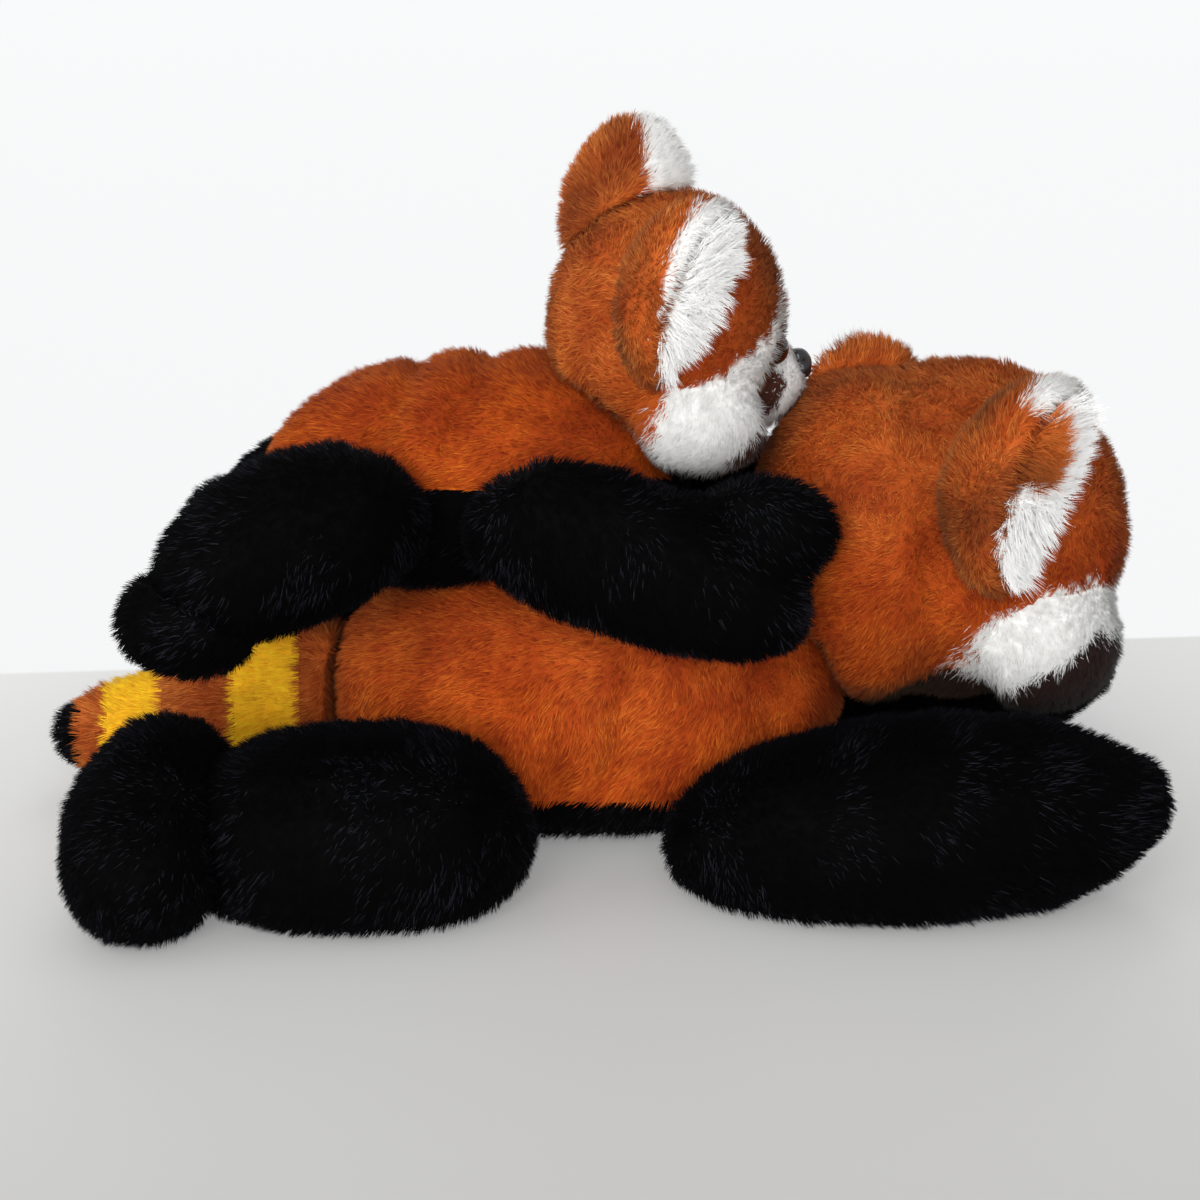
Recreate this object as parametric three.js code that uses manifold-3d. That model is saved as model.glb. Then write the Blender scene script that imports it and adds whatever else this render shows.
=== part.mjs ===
// Plush red panda lying on her belly with a baby of her kind on her back, in millimetres.
// +X is the way the mother's body points, +Y is her left and +Z is up. The origin is under her
// belly, on the surface that she lies on. Right and left are always the animal's own.
import * as THREE from 'three';
import { mergeVertices } from 'three/addons/utils/BufferGeometryUtils.js';
import Module from 'manifold-3d';

const wasm = await Module();
wasm.setup();

// Clearance between two pieces that touch, and the thickness of the plush fabric with its pile.
const GAP = 0.3;
const FABRIC = 6;
const DEGREE = Math.PI / 180;
const RIGHT = -1;
const LEFT = 1;

// The mother's trunk. It reaches from rear to front, and its belly is black up to bellySeam.
const TRUNK = {
  rear: 97,
  front: 88,
  halfWidth: 62,
  halfHeight: 56,
  middle: 48,
  shoulderRise: 14,
  bellySeam: 23,
};
const BACK = TRUNK.middle + TRUNK.halfHeight;
const FLANK = TRUNK.halfWidth;

// The mother's head: half its length, width and height, the point that it is centred on, and how
// far it is turned to her left, bowed down and tilted to her right. Its nape lies over the neck.
const HEAD = {
  halfSizes: [55, 61, 60],
  ahead: 40,
  aside: 4,
  height: 105,
  turned: 46,
  bowed: 16,
  tilted: 14,
  nape: [42, 60, 60],
  napeAhead: 6,
  napeDrop: 2,
};
const NAPE_TOP = HEAD.height - HEAD.napeDrop + HEAD.nape[2];
const MUZZLE = { halfSizes: [25, 27, 20], ahead: 44, drop: 18 };
const CHEEK = { halfSizes: [32, 18, 25], ahead: 5, out: 53, drop: 21 };
// An ear is a cup with a furry lining. It opens outward, turned that far from straight ahead.
const EAR = {
  deep: 30,
  wide: 29,
  high: 37,
  cup: 3,
  opens: 79,
  right: { back: 38, out: 47, up: 32, lean: -6 },
  left: { back: 14, out: 53, up: 12, lean: 4 },
};

// A dome on a shank, locked by a washer behind the fabric: the eyes and the noses.
const EYE = { radius: 7, dome: 5, shank: 2.2, length: 13, washer: 6.5, thick: 2.4, out: 21, up: 6 };
const NOSE = { radius: 9, dome: 7, shank: 2.2, length: 13, washer: 6.5, thick: 2.4, up: 9 };

// The mother's limbs. out is how far a limb's middle line lies outside her flank, and sag is how
// much lower that line lies than half the limb's height.
const FRONT_LEG = { start: 20, reach: 193, out: 18, halfWidth: 40, halfHeight: 35, sag: 9 };
const FAR_PAW = { inward: 16, ahead: 8 };
const THIGH = { start: 22, reach: 146, out: 22, halfWidth: 42, halfHeight: 35, sag: 10 };
const FOOT = { x: 146, inner: 38, outer: 138, halfWidth: 28, halfHeight: 33, sag: 5 };
const FAR_FOOT = 12;
const TAIL = {
  start: 76,
  reach: 202,
  halfWidth: 21,
  halfHeight: 23,
  root: 54,
  aside: 16,
};

// The seams between a tail's bands of colour, as shares of the way from its root to its tip.
const TAIL_SEAMS = [0.25, 0.44, 0.66, 0.825, 0.91];
const BABY_TAIL_SEAMS = [0.15, 0.48, 0.79];

// The baby lies on the mother's back, so its heights are counted from there.
const BABY = {
  rear: 119,
  front: 32,
  halfWidth: 45,
  halfHeight: 41,
  middle: 22,
  neckRise: 9,
  bellySeam: 27,
};
const BABY_HEAD = {
  halfSizes: [41, 43, 46],
  x: 22,
  y: -8,
  aboveNape: 19,
  turned: 20,
  bowed: 12,
  tilted: 23,
};
const BABY_MUZZLE = { halfSizes: [20, 19, 16], ahead: 39, drop: 17 };
const BABY_CHEEK = { halfSizes: [24, 13, 19], ahead: 10, out: 38.5, drop: 17 };
const BABY_EAR = {
  deep: 24,
  wide: 23,
  high: 33,
  cup: 2,
  opens: 48,
  right: { back: 10, out: 34, up: 30, lean: -8 },
  left: { back: 12, out: 30, up: 22, lean: 30 },
};
const BABY_EYE = { radius: 5, dome: 4, shank: 1.8, length: 10, washer: 5, thick: 2, out: 15, up: 4 };
const BABY_NOSE = { radius: 6, dome: 5, shank: 1.8, length: 10, washer: 5, thick: 2, up: 8.5 };
const ARM = { rear: 47, paw: 71, halfWidth: 19, halfHeight: 27, lobe: [27, 17, 20] };
const BABY_LEG = { start: 58, reach: 142, halfWidth: 21, halfHeight: 29 };
const BABY_FOOT = [25, 19, 19];
const BABY_TAIL = { start: 104, halfWidth: 13, root: 26, tip: -36, lean: 22, aside: 18 };
const FAR_SIDE_DROP = { arm: 12, leg: 9 };
const FAR_ARM_BACK = 12;

// What moves at its seams: the point of each hinge and how far it turns each way, in degrees.
const NECK = { at: [TRUNK.front - 8, 0, 0], turns: [-10, 10] };
const BABY_NECK = { at: [14, -4, 0], turns: [-8, 8] };
const RUMP = { at: [-80, 2, 0], turns: [-8, 12] };
const SHOULDER = { x: 34, opens: 20 };
const HIP = { x: -36, opens: 18 };
const ARM_HINGE = { out: 36, up: 42, opens: 40 };
const LEG_HINGE = { out: 38, up: 42, opens: 36 };

const FUR = { roughness: 0.95, metalness: 0 };
const MATERIALS = {
  rust: new THREE.MeshStandardMaterial({ color: 0xb05a1e, ...FUR }),
  brown: new THREE.MeshStandardMaterial({ color: 0x8f4d22, ...FUR }),
  black: new THREE.MeshStandardMaterial({ color: 0x121216, ...FUR }),
  white: new THREE.MeshStandardMaterial({ color: 0xf2f0ec, ...FUR }),
  yellow: new THREE.MeshStandardMaterial({ color: 0xe8a02a, ...FUR }),
  filling: new THREE.MeshStandardMaterial({ color: 0xe8e6e0, roughness: 1, metalness: 0 }),
  plastic: new THREE.MeshStandardMaterial({ color: 0x0c0a0a, roughness: 0.15, metalness: 0 }),
  washer: new THREE.MeshStandardMaterial({ color: 0xdcdcdc, roughness: 0.5, metalness: 0 }),
};

// A closed geometry as a solid, moved by a matrix if one is given.
function solidOf(geometry, matrix) {
  const bare = geometry.clone();
  bare.deleteAttribute('normal');
  bare.deleteAttribute('uv');
  if (matrix) bare.applyMatrix4(matrix);
  const merged = mergeVertices(bare, 1e-4);
  return new wasm.Manifold(new wasm.Mesh({
    numProp: 3,
    vertProperties: new Float32Array(merged.attributes.position.array),
    triVerts: new Uint32Array(merged.index.array),
  }));
}

// A solid as a geometry, in the frame of the group that will hold it.
function geometryOf(solid, group) {
  const { vertProperties, triVerts } = solid.getMesh();
  const geometry = new THREE.BufferGeometry();
  geometry.setAttribute('position', new THREE.BufferAttribute(new Float32Array(vertProperties), 3));
  geometry.setIndex(new THREE.BufferAttribute(new Uint32Array(triVerts), 1));
  group.updateWorldMatrix(true, false);
  geometry.applyMatrix4(group.matrixWorld.clone().invert());
  geometry.computeVertexNormals();
  return geometry;
}

// The largest body of a solid, so that a cut leaves no crumbs.
function largest(solid) {
  return solid.decompose().reduce((a, b) => (b.volume() > a.volume() ? b : a));
}

// Rows of points, each a closed loop, joined to each other and to a point at each end.
function capped(first, rows, last) {
  const sides = rows[0].length;
  const points = [first, ...rows.flat(), last];
  const end = points.length - 1;
  const at = (row, j) => 1 + row * sides + (j % sides);
  const index = [];
  for (let j = 0; j < sides; j++) {
    index.push(0, at(0, j + 1), at(0, j));
    for (let row = 0; row + 1 < rows.length; row++) {
      index.push(at(row, j), at(row, j + 1), at(row + 1, j));
      index.push(at(row, j + 1), at(row + 1, j + 1), at(row + 1, j));
    }
    index.push(end, at(rows.length - 1, j), at(rows.length - 1, j + 1));
  }
  const geometry = new THREE.BufferGeometry().setFromPoints(points);
  geometry.setIndex(index);
  return geometry;
}

// Every form below is a function of how far it is grown on all sides, so that a neighbour can be
// cut by it with a clearance and a lining can lie inside it.

// A stuffed form: rounded sections carried along a smooth spine and closed to a round end at each
// side. Each station is a point of the spine with the section's half width and half height there.
// fullness above 2 makes the ends blunter and squareness above 2 makes the sections boxier.
function stuffed(stations, { sides = 12, rings = 9, fullness = 2.6, squareness = 2.2 } = {}) {
  const spine = new THREE.CatmullRomCurve3(stations.map((s) => new THREE.Vector3(...s.slice(0, 3))));
  const sizes = new THREE.CatmullRomCurve3(stations.map((s) => new THREE.Vector3(s[3], s[4], 0)));
  const upward = new THREE.Vector3(0, 0, 1);
  const length = spine.getLength();
  const onSpine = (t) => {
    const inside = Math.min(Math.max(t, 0), 1);
    return spine.getPoint(inside).addScaledVector(spine.getTangent(inside), (t - inside) * length);
  };
  return (grow = 0) => {
    const rows = [];
    const end = grow / length;
    for (let i = 1; i < rings; i++) {
      const share = (1 - Math.cos((Math.PI * i) / rings)) / 2;
      const taper = (1 - Math.abs(2 * share - 1) ** fullness) ** (1 / fullness);
      const t = -end + share * (1 + 2 * end);
      const centre = onSpine(t);
      const along = spine.getTangent(Math.min(Math.max(t, 0), 1));
      const side = new THREE.Vector3().crossVectors(upward, along).normalize();
      const top = new THREE.Vector3().crossVectors(along, side);
      const size = sizes.getPoint(Math.min(Math.max(t, 0), 1));
      rows.push(Array.from({ length: sides }, (_, j) => {
        const c = Math.cos((2 * Math.PI * j) / sides);
        const s = Math.sin((2 * Math.PI * j) / sides);
        const reach = (Math.abs(c) ** squareness + Math.abs(s) ** squareness) ** (-1 / squareness);
        return centre.clone()
          .addScaledVector(side, (size.x + grow) * taper * reach * c)
          .addScaledVector(top, (size.y + grow) * taper * reach * s);
      }));
    }
    return solidOf(capped(onSpine(-end), rows, onSpine(1 + end)));
  };
}

// A round form with three half sizes, placed by a matrix.
function rounded(halfSizes, matrix, detail = 12) {
  return (grow = 0) => {
    const ball = new THREE.SphereGeometry(1, detail, Math.round(detail * 0.6));
    ball.rotateX(Math.PI / 2);
    ball.scale(...halfSizes.map((size) => size + grow));
    return solidOf(ball, matrix);
  };
}

const placed = (x, y, z) => new THREE.Matrix4().makeTranslation(x, y, z);
const joined = (...forms) => (grow = 0) => forms.map((f) => f(grow)).reduce((a, b) => a.add(b));

// A form less its neighbours, each with the clearance round it. Grown, the cut faces grow too.
const cutBy = (form, ...neighbours) => (grow = 0) => largest(
  neighbours.reduce((solid, neighbour) => solid.subtract(neighbour(GAP - grow)), form(grow)));

// All the room that a form takes up in several places of its travel.
function swept(form, matrices) {
  return (grow = 0) => {
    const still = form(grow);
    return matrices.map((m) => still.transform(m.toArray())).reduce((a, b) => a.add(b));
  };
}
const AXES = { x: new THREE.Vector3(1, 0, 0), z: new THREE.Vector3(0, 0, 1) };
function turnedAbout(point, axis, degrees) {
  const away = placed(...point);
  const turn = new THREE.Matrix4().makeRotationAxis(AXES[axis], degrees * DEGREE);
  return away.clone().multiply(turn).multiply(away.clone().invert());
}
const steps = (from, to, count) => (
  Array.from({ length: count + 1 }, (_, i) => from + ((to - from) * i) / count));

// The room between two heights, or between two places along X.
const WIDE = 900;
const layer = (bottom, top) => solidOf(
  new THREE.BoxGeometry(WIDE, WIDE, top - bottom), placed(0, 0, (bottom + top) / 2));
const slice = (from, to) => solidOf(
  new THREE.BoxGeometry(to - from, WIDE, WIDE), placed((from + to) / 2, 0, 0));
const UNDERGROUND = layer(-WIDE, 0);
const grounded = (form) => (grow = 0) => largest(form(grow).subtract(UNDERGROUND));

// The skin above a seam, the panel below it and the filling inside, of one stuffed trunk.
function sewn(form, seam, floor = -WIDE) {
  const inside = (inset) => form(-inset).subtract(layer(-WIDE, floor + inset));
  return {
    back: (grow = 0) => form(grow).subtract(inside(FABRIC)).subtract(layer(-WIDE, seam + GAP)),
    belly: (grow = 0) => form(grow).subtract(inside(FABRIC)).subtract(layer(seam, WIDE)),
    filling: () => inside(FABRIC + GAP),
  };
}

// A head's frame: its face looks along local +X.
function headFrame(x, y, z, { turned, bowed, tilted }) {
  const angles = new THREE.Euler(tilted * DEGREE, bowed * DEGREE, turned * DEGREE, 'ZYX');
  return new THREE.Matrix4().makeRotationFromEuler(angles).setPosition(x, y, z);
}
const within = (frame, x, y, z) => frame.clone().multiply(placed(x, y, z));

// A dome on a shank along local +Z of its frame. Open, it is the room that the dome needs outside.
const LATHE_STEPS = 10;
function stud(size, frame, open = false) {
  return (grow = 0) => {
    const top = open ? size.dome * 6 : size.dome;
    const outline = [[0, -size.length - grow], [size.shank + grow, -size.length - grow]];
    outline.push([size.shank + grow, -grow], [size.radius + grow, -grow]);
    if (open) {
      outline.push([size.radius + grow, top]);
    } else {
      for (const angle of [30, 60]) {
        outline.push([size.radius * Math.cos(angle * DEGREE), size.dome * Math.sin(angle * DEGREE)]);
      }
    }
    outline.push([0, top]);
    const lathe = new THREE.LatheGeometry(outline.map((p) => new THREE.Vector2(...p)), LATHE_STEPS);
    return solidOf(lathe.rotateX(Math.PI / 2), frame);
  };
}

// The washer on a stud's shank, and the slot that holds it.
function washerRing(size, frame, bore, grow) {
  const low = -size.length / 2 - size.thick / 2 - grow;
  const high = -size.length / 2 + size.thick / 2 + grow;
  const rim = size.washer + grow;
  const outline = [[bore, low], [rim, low], [rim, high], [bore, high], [bore, low]];
  const lathe = new THREE.LatheGeometry(outline.map((p) => new THREE.Vector2(...p)), LATHE_STEPS);
  return solidOf(lathe.rotateX(Math.PI / 2), frame);
}

// A fastened stud: what is seen, its washer, and a form less the room for both.
function fastened(size, frame) {
  return {
    stud: stud(size, frame),
    washer: () => washerRing(size, frame, size.shank + GAP, 0),
    cut: (form) => (grow = 0) => form(grow)
      .subtract(stud(size, frame, true)(GAP))
      .subtract(washerRing(size, frame, size.shank, GAP)),
  };
}

// A frame on a round form's surface, sunk by depth, with +Z pointing out of it.
function seatOn(frame, halfSizes, out, up, depth) {
  const ahead = halfSizes[0] * Math.sqrt(1 - (out / halfSizes[1]) ** 2 - (up / halfSizes[2]) ** 2);
  const normal = new THREE.Vector3(
    ahead / halfSizes[0] ** 2, out / halfSizes[1] ** 2, up / halfSizes[2] ** 2).normalize();
  const turn = new THREE.Quaternion().setFromUnitVectors(AXES.z, normal);
  const point = new THREE.Vector3(ahead, out, up).addScaledVector(normal, -depth);
  return frame.clone().multiply(new THREE.Matrix4().compose(point, turn, new THREE.Vector3(1, 1, 1)));
}

// A cupped ear that opens along local +X of its frame, and the lining that fills the cup.
function earOf(ear, frame) {
  const flap = rounded([ear.deep, ear.wide, ear.high], frame, 12);
  const pocket = rounded([ear.deep, ear.wide, ear.high].map((size) => size - FABRIC), frame, 12);
  const bowl = ear.high * 1.2;
  const dish = rounded([bowl, bowl, bowl], within(frame, bowl - ear.cup, 0, 0), 12);
  const ahead = (grow) => solidOf(
    new THREE.BoxGeometry(WIDE, WIDE, WIDE), within(frame, WIDE / 2 + grow, 0, 0));
  const half = (grow) => flap(grow).subtract(ahead(grow));
  return {
    flap: half,
    ear: (grow = 0) => half(grow).subtract(pocket(GAP - grow)),
    lining: (grow = 0) => pocket(grow).subtract(dish(-grow)).subtract(ahead(grow)),
  };
}

// A head: the skull with any nape, the muzzle, and on each side a cheek, an eye and an ear.
function headOf({ frame, halfSizes, nape, muzzle, cheek, ear, eye, nose, detail }) {
  const skull = joined(rounded(halfSizes, frame, detail), ...nape);
  const snoutFrame = within(frame, muzzle.ahead, 0, -muzzle.drop);
  const snout = rounded(muzzle.halfSizes, snoutFrame, 12);
  const noseParts = fastened(nose, seatOn(snoutFrame, muzzle.halfSizes, 0, nose.up, 1));
  const sides = {};
  for (const [side, flop] of [[RIGHT, ear.right], [LEFT, ear.left]]) {
    const lean = new THREE.Matrix4().makeRotationX(-side * flop.lean * DEGREE);
    const turn = new THREE.Matrix4().makeRotationZ(side * ear.opens * DEGREE);
    const earFrame = within(frame, -flop.back, side * flop.out, flop.up).multiply(lean);
    sides[side] = {
      cheek: rounded(cheek.halfSizes, within(frame, cheek.ahead, side * cheek.out, -cheek.drop), 12),
      eye: fastened(eye, seatOn(frame, halfSizes, side * eye.out, eye.up, 1.2)),
      ...earOf(ear, earFrame.multiply(turn)),
    };
  }
  const { [RIGHT]: right, [LEFT]: left } = sides;
  return {
    skull,
    snout,
    nose: noseParts,
    sides,
    all: joined(skull, snout, right.cheek, left.cheek, right.flap, left.flap),
    bare: left.eye.cut(right.eye.cut(skull)),
    muzzle: noseParts.cut(cutBy(snout, skull)),
  };
}

// Places along a form that reaches from one point to another, as shares of the way.
const between = (from, to) => (share) => from + (to - from) * share;

// The mother's trunk, head, limbs and tail. side is RIGHT or LEFT. Every station's section is a
// share of the form's half width and half height.
const trunkAt = (x, rise, wide, high) => (
  [x, 0, TRUNK.middle + rise, TRUNK.halfWidth * wide, TRUNK.halfHeight * high]);
const trunk = grounded(stuffed([
  trunkAt(-TRUNK.rear, TRUNK.shoulderRise * 0.2, 0.71, 0.75),
  trunkAt(-TRUNK.rear / 2, 0, 0.97, 0.96),
  trunkAt(0, 0, 1, 1),
  trunkAt(TRUNK.front / 2, TRUNK.shoulderRise / 2, 1, 1.04),
  trunkAt(TRUNK.front, TRUNK.shoulderRise, 0.81, 0.89),
], { sides: 16, rings: 10, squareness: 2.3 }));
const motherHead = headOf({
  frame: headFrame(TRUNK.front + HEAD.ahead, HEAD.aside, HEAD.height, HEAD),
  halfSizes: HEAD.halfSizes,
  nape: [rounded(HEAD.nape, placed(TRUNK.front + HEAD.napeAhead, 0, NAPE_TOP - HEAD.nape[2]), 14)],
  muzzle: MUZZLE,
  cheek: CHEEK,
  ear: EAR,
  eye: EYE,
  nose: NOSE,
  detail: 18,
});
const frontLeg = (side) => {
  const y = side * (FLANK + FRONT_LEG.out);
  const w = FRONT_LEG.halfWidth;
  const h = FRONT_LEG.halfHeight;
  const z = h - FRONT_LEG.sag;
  const inward = side === LEFT ? FAR_PAW.inward : 0;
  const x = between(FRONT_LEG.start, FRONT_LEG.reach + (side === LEFT ? FAR_PAW.ahead : 0));
  return grounded(stuffed([
    [x(0), y * 0.98, z - h * 0.3, w * 0.7, h * 0.7],
    [x(0.22), y * 0.98, z - h * 0.14, w * 0.93, h * 0.91],
    [x(0.47), y, z, w, h],
    [x(0.74), y * 0.97 - inward * 0.7, z + h * 0.1, w * 0.88, h * 0.97],
    [x(1), y - inward, z + h * 0.26, w * 0.6, h * 0.66],
  ], { squareness: 2.5 }));
};
const thigh = (side) => {
  const y = side * (FLANK + THIGH.out);
  const w = THIGH.halfWidth;
  const h = THIGH.halfHeight;
  const z = h - THIGH.sag;
  const x = between(-THIGH.start, -THIGH.reach);
  return grounded(stuffed([
    [x(0), y * 0.96, z - h * 0.2, w * 0.71, h * 0.74],
    [x(0.27), y, z, w * 0.93, h],
    [x(0.63), y * 1.02, z, w * 0.95, h],
    [x(1), y, z, w * 0.71, h * 0.8],
  ], { squareness: 2.5 }));
};
const foot = (side) => {
  const spread = side === LEFT ? FAR_FOOT : 0;
  const w = FOOT.halfWidth;
  const h = FOOT.halfHeight;
  const z = h - FOOT.sag;
  const y = (share) => side * (between(FOOT.inner, FOOT.outer)(share) + spread);
  return grounded(stuffed([
    [-FOOT.x + w * 0.2, y(0), z, w * 0.8, h * 0.85],
    [-FOOT.x, y(0.38), z + h * 0.06, w, h],
    [-FOOT.x - w * 0.1, y(0.72), z - h * 0.12, w, h * 0.88],
    [-FOOT.x - w * 0.15, y(1), z - h * 0.3, w * 0.8, h * 0.67],
  ], { squareness: 2.4 }));
};
const tail = (() => {
  const w = TAIL.halfWidth;
  const h = TAIL.halfHeight;
  const x = between(-TAIL.start, -TAIL.reach);
  return grounded(stuffed([
    [x(0), TAIL.aside * 0.1, TAIL.root, w, h * 1.08],
    [x(0.25), TAIL.aside * 0.35, TAIL.root * 0.83, w * 1.05, h * 1.05],
    [x(0.59), TAIL.aside * 0.75, h * 1.22, w, h],
    [x(1), TAIL.aside, h * 0.87, w * 0.86, h * 0.92],
  ], { rings: 11 }));
})();

// The baby's trunk, head, limbs and tail.
const up = (height) => BACK + height;
const babyTrunkAt = (share, rise, wide, high) => [
  between(-BABY.rear, BABY.front)(share),
  0,
  up(BABY.middle + BABY.neckRise * rise),
  BABY.halfWidth * wide,
  BABY.halfHeight * high,
];
const babyTrunk = stuffed([
  babyTrunkAt(0, -0.2, 0.73, 0.76),
  babyTrunkAt(0.25, -0.1, 0.93, 1),
  babyTrunkAt(0.51, 0, 1, 1.07),
  babyTrunkAt(0.79, 0.33, 0.96, 1),
  babyTrunkAt(1, 1, 0.73, 0.85),
], { sides: 14, rings: 10 });
const babyHead = headOf({
  frame: headFrame(BABY_HEAD.x, BABY_HEAD.y, NAPE_TOP + BABY_HEAD.aboveNape, BABY_HEAD),
  halfSizes: BABY_HEAD.halfSizes,
  nape: [],
  muzzle: BABY_MUZZLE,
  cheek: BABY_CHEEK,
  ear: BABY_EAR,
  eye: BABY_EYE,
  nose: BABY_NOSE,
  detail: 16,
});
const arm = (side) => {
  const w = ARM.halfWidth;
  const h = ARM.halfHeight;
  const drop = side === LEFT ? FAR_SIDE_DROP.arm : 0;
  const paw = side === LEFT ? ARM.paw - FAR_ARM_BACK : ARM.paw;
  const x = between(-ARM.rear, paw);
  return joined(
    stuffed([
      [x(0), side * (FLANK - w * 0.42), up(h * 0.67 - drop), w * 0.84, h * 0.85],
      [x(0.31), side * FLANK, up(h * 0.6 - drop), w * 1.05, h * 1.07],
      [x(0.67), side * (FLANK + w * 0.47), up(h * 0.11 - drop), w * 1.05, h],
      [x(1), side * (FLANK + w * 0.58), up(-h * 0.44 - drop), w * 0.95, h * 0.74],
    ]),
    rounded(ARM.lobe, placed(paw - w * 0.9, side * FLANK, up(h * 0.7 - drop)), 10),
  );
};
const babyLeg = (side) => {
  const w = BABY_LEG.halfWidth;
  const h = BABY_LEG.halfHeight;
  const drop = side === LEFT ? FAR_SIDE_DROP.leg : 0;
  const x = between(-BABY_LEG.start, -BABY_LEG.reach);
  return stuffed([
    [x(0), side * (FLANK - w * 0.67), up(h * 0.69 - drop), w * 0.95, h * 0.8],
    [x(0.4), side * (FLANK - w * 0.14), up(h * 0.65 - drop * 2), w * 1.2, h],
    [x(0.74), side * (FLANK + w * 0.29), up(h * 0.24 - drop * 2), w * 1.05, h * 0.9],
    [x(1), side * (FLANK + w * 0.48), up(-h * 0.38 - drop), w * 0.86, h * 0.72],
  ]);
};
const babyFoot = (side) => {
  const drop = side === LEFT ? FAR_SIDE_DROP.leg : 0;
  const w = BABY_LEG.halfWidth;
  return rounded(BABY_FOOT, placed(-BABY_LEG.reach + w / 3, side * (FLANK + w * 0.48),
    up(-BABY_LEG.halfHeight * 0.31 - drop)), 10);
};
const babyTail = (() => {
  const w = BABY_TAIL.halfWidth;
  const x = between(-BABY_TAIL.start, -BABY_TAIL.start - BABY_TAIL.lean);
  const z = between(up(BABY_TAIL.root), up(BABY_TAIL.tip));
  return stuffed([
    [x(0), BABY_TAIL.aside * 0.33, z(0), w, w],
    [x(0.5), BABY_TAIL.aside * 0.5, z(0.26), w * 1.08, w * 1.08],
    [x(0.73), BABY_TAIL.aside * 0.78, z(0.61), w, w],
    [x(1), BABY_TAIL.aside, z(1), w * 0.92, w * 0.92],
  ], { sides: 10 });
})();

// The room that the moving pieces sweep, and the room that a still piece must leave when it is seen
// from a piece that moves the other way.
const turning = (hinge, axis, count) => (
  steps(hinge.turns[0], hinge.turns[1], count).map((a) => turnedAbout(hinge.at, axis, a)));
const opening = (point, axis, degrees, count) => (
  steps(0, degrees, count).map((a) => turnedAbout(point, axis, a)));
const sweptHead = swept(motherHead.all, turning(NECK, 'z', 2));
const trunkFromHead = swept(trunk, turning(NECK, 'z', 4));
const loweredHead = swept(motherHead.all, turning(NECK, 'z', 2).flatMap((turn) => (
  [0, 14, 28].map((drop) => placed(0, 0, -drop).multiply(turn)))));
const trunkFromTail = swept(trunk, turning({ at: RUMP.at, turns: RUMP.turns.map((a) => -a) }, 'z', 2));
const shoulder = (side) => [SHOULDER.x, side * (FLANK - 2), 0];
const hip = (side) => [HIP.x, side * (FLANK - 2), 0];
const trunkFromFrontLeg = (side) => swept(
  trunk, opening(shoulder(side), 'z', -side * SHOULDER.opens, 2));
const trunkFromHindLeg = (side) => swept(trunk, opening(hip(side), 'z', side * HIP.opens, 2));
const hindLeg = (side) => joined(thigh(side), foot(side));
const tailSweep = swept(tail, turning(RUMP, 'z', 2));
const motherFromBabyHead = swept(motherHead.all, turning(NECK, 'z', 2).flatMap((turn) => (
  turning(BABY_NECK, 'z', 2).map((other) => other.clone().multiply(turn)))));
const babyHeadSweep = swept(babyHead.all, turning(BABY_NECK, 'z', 2));
const babyTrunkFromHead = swept(babyTrunk, turning(BABY_NECK, 'z', 2));
const armHinge = (side) => [0, side * ARM_HINGE.out, up(ARM_HINGE.up)];
const legHinge = (side) => [0, side * LEG_HINGE.out, up(LEG_HINGE.up)];
const fromArm = (form, side) => swept(form, opening(armHinge(side), 'x', -side * ARM_HINGE.opens, 4));
const fromBabyLeg = (form, side) => swept(
  form, opening(legHinge(side), 'x', -side * LEG_HINGE.opens, 4));

// The toy, as groups that each hold what moves together, placed at their hinges.
const plush = new THREE.Group();
function groupAt(parent, point) {
  const group = new THREE.Group();
  parent.add(group);
  parent.updateWorldMatrix(true, false);
  group.position.set(...point).applyMatrix4(parent.matrixWorld.clone().invert());
  return group;
}
function add(group, name, form, material) {
  const mesh = new THREE.Mesh(geometryOf(form(0), group), MATERIALS[material]);
  mesh.name = name;
  group.add(mesh);
}

const mother = groupAt(plush, [0, 0, 0]);
const motherBody = sewn(trunk, TRUNK.bellySeam, 0);
add(mother, 'mother_back', motherBody.back, 'rust');
add(mother, 'mother_belly', motherBody.belly, 'black');
add(mother, 'mother_filling', motherBody.filling, 'filling');

const baby = groupAt(plush, [-40, 0, BACK]);
const babyBody = sewn(cutBy(babyTrunk, trunk, loweredHead), up(BABY.bellySeam));
add(baby, 'baby_back', babyBody.back, 'rust');
add(baby, 'baby_belly', babyBody.belly, 'black');
add(baby, 'baby_filling', () => largest(babyBody.filling()), 'filling');

function addHead(group, who, head, cut) {
  add(group, `${who}_head`, cut(head.bare), 'rust');
  add(group, `${who}_muzzle`, cut(head.muzzle), 'white');
  add(group, `${who}_nose`, head.nose.stud, 'plastic');
  add(group, `${who}_nose_washer`, head.nose.washer, 'washer');
  for (const [name, side] of [['right', RIGHT], ['left', LEFT]]) {
    const parts = head.sides[side];
    add(group, `${who}_ear_${name}`, cut(cutBy(parts.ear, head.skull)), 'brown');
    add(group, `${who}_ear_lining_${name}`, cut(cutBy(parts.lining, head.skull)), 'white');
    add(group, `${who}_cheek_${name}`, cut(cutBy(parts.cheek, head.skull, head.snout)), 'white');
    add(group, `${who}_eye_${name}`, parts.eye.stud, 'plastic');
    add(group, `${who}_eye_washer_${name}`, parts.eye.washer, 'washer');
  }
}
addHead(groupAt(mother, NECK.at), 'mother', motherHead, (form) => cutBy(form, trunkFromHead));
addHead(groupAt(baby, BABY_NECK.at), 'baby', babyHead,
  (form) => cutBy(form, babyTrunkFromHead, trunk, motherFromBabyHead));

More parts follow.
